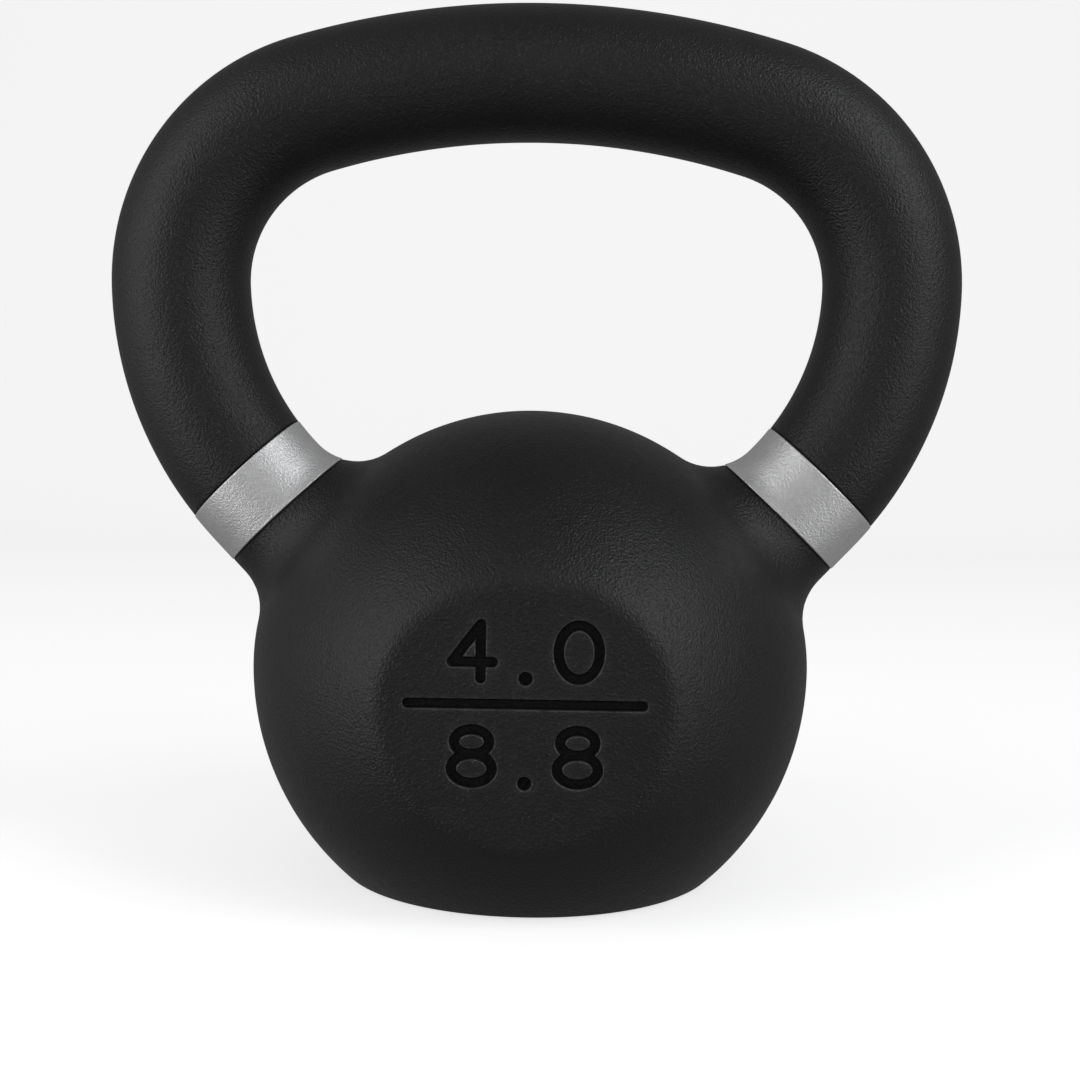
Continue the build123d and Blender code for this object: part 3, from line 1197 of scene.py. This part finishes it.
black = powder_coat(
    "black_powder_coat",
    dark=(0.0080, 0.0081, 0.0084, 1),
    light=(0.0108, 0.0109, 0.0114, 1),
    highlight_colour=(0.075, 0.075, 0.078, 1),
    rough=0.40,
    spread=0.05,
    peel=0.145,
    grain=0.050,
)
silver = powder_coat(
    "silver_powder_coat",
    dark=(0.78, 0.78, 0.785, 1),
    light=(0.88, 0.88, 0.885, 1),
    highlight_colour=(1.0, 1.0, 1.0, 1),
    rough=0.46,
    spread=0.05,
    peel=0.068,
    grain=0.055,
    metallic=0.75,
)

bell_piece(black)
handle_piece(black)
band_piece(1, "right_silver_band", "right_band", silver)
band_piece(-1, "left_silver_band", "left_band", silver)
base_piece(black)

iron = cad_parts["iron_casting"]
iron.material_slots[0].material = cast_iron("bare_cast_iron")

# ---- Floor, lights and camera, in metres.

FLOOR_FRONT = -1.6
FLOOR_BACK = 0.55
FLOOR_HALF_WIDTH = 2.2
BEND_RADIUS = 0.5
BEND_STEPS = 25
BACKDROP_TOP = 2.2


def sweep_floor():
    """A pale floor that curves up into a backdrop behind the object."""
    profile = [(FLOOR_FRONT, 0.0), (FLOOR_BACK, 0.0)]
    for angle in np.linspace(0, pi / 2, BEND_STEPS)[1:]:
        profile.append((FLOOR_BACK + BEND_RADIUS * sin(angle), BEND_RADIUS * (1 - cos(angle))))
    profile.append((FLOOR_BACK + BEND_RADIUS, BACKDROP_TOP))
    vertices = [(x, y, z) for y, z in profile for x in (-FLOOR_HALF_WIDTH, FLOOR_HALF_WIDTH)]
    faces = [(2 * i, 2 * i + 1, 2 * i + 3, 2 * i + 2) for i in range(len(profile) - 1)]
    mesh = bpy.data.meshes.new("floor")
    mesh.from_pydata(vertices, [], faces)
    mesh.polygons.foreach_set("use_smooth", [True] * len(mesh.polygons))
    mesh.materials.append(pale_sheet("pale_sheet"))
    floor = bpy.data.objects.new("floor", mesh)
    # The sheet neither lights the object nor shows in its sheen, so its black stays deep.
    floor.visible_glossy = False
    floor.visible_diffuse = False
    bpy.context.scene.collection.objects.link(floor)


sweep_floor()

middle = (cad_low + cad_high) / 2


def softbox(name, place, width, height, power, colour=(1, 1, 1)):
    """A rectangular soft light at a place from the object's middle, facing it."""
    data = bpy.data.lights.new(name, "AREA")
    data.shape = "RECTANGLE"
    data.size = width
    data.size_y = height
    data.energy = power
    data.color = colour
    light = bpy.data.objects.new(name, data)
    light.location = middle + Vector(place)
    light.rotation_euler = (-Vector(place)).to_track_quat("-Z", "Y").to_euler()
    bpy.context.scene.collection.objects.link(light)


STRIP_REACH = 0.65  # of each upright strip from the object's middle
STRIP_LIFT = 0.03
STRIP_SIZE = (0.18, 0.6)
# Name, side, degrees round from the front, power in watts.
STRIPS = (
    ("left_front_strip", -1, 50, 0.82),
    ("left_side_strip", -1, 70, 0.36),
    ("left_rear_strip", -1, 95, 0.15),
    ("right_front_strip", 1, 50, 0.69),
    ("right_side_strip", 1, 70, 0.14),
)
for name, side, degrees_round, power in STRIPS:
    turn = radians(degrees_round)
    place = (side * STRIP_REACH * sin(turn), -STRIP_REACH * cos(turn), STRIP_LIFT)
    softbox(name, place, *STRIP_SIZE, power)
softbox("left_high_box", (-0.5, -0.28, 0.45), 0.3, 0.3, 0.48)
softbox("right_high_box", (0.5, -0.28, 0.45), 0.3, 0.3, 1.05, (0.97, 0.985, 1))
softbox("front_fill", (0.0, -1.3, 0.35), 1.2, 0.8, 0.60)

world = bpy.data.worlds.new("studio")
world.use_nodes = True
background = world.node_tree.nodes["Background"]
background.inputs["Color"].default_value = (1, 1, 1, 1)
background.inputs["Strength"].default_value = 0.19
bpy.context.scene.world = world
bpy.context.scene.view_settings.view_transform = "Standard"

CAMERA_PLACE = (5.20, -309.40, 88.87)  # millimetres, unlike the lights
CAMERA_LENS = 57.75
CAMERA_PITCH = 0.09577  # below level
CAMERA_YAW = 0.01227
CAMERA_ROLL = 0.01472

camera_data = bpy.data.cameras.new("camera")
camera_data.lens = CAMERA_LENS
camera_data.sensor_width = 36
camera_data.clip_start = 0.01
camera_data.clip_end = 20
camera = bpy.data.objects.new("camera", camera_data)
turn = (
    Matrix.Rotation(CAMERA_YAW, 4, "Z")
    @ Matrix.Rotation(pi / 2 - CAMERA_PITCH, 4, "X")
    @ Matrix.Rotation(CAMERA_ROLL, 4, "Z")
)
camera.matrix_world = Matrix.Translation(Vector(CAMERA_PLACE) * MM) @ turn
bpy.context.scene.collection.objects.link(camera)
bpy.context.scene.camera = camera
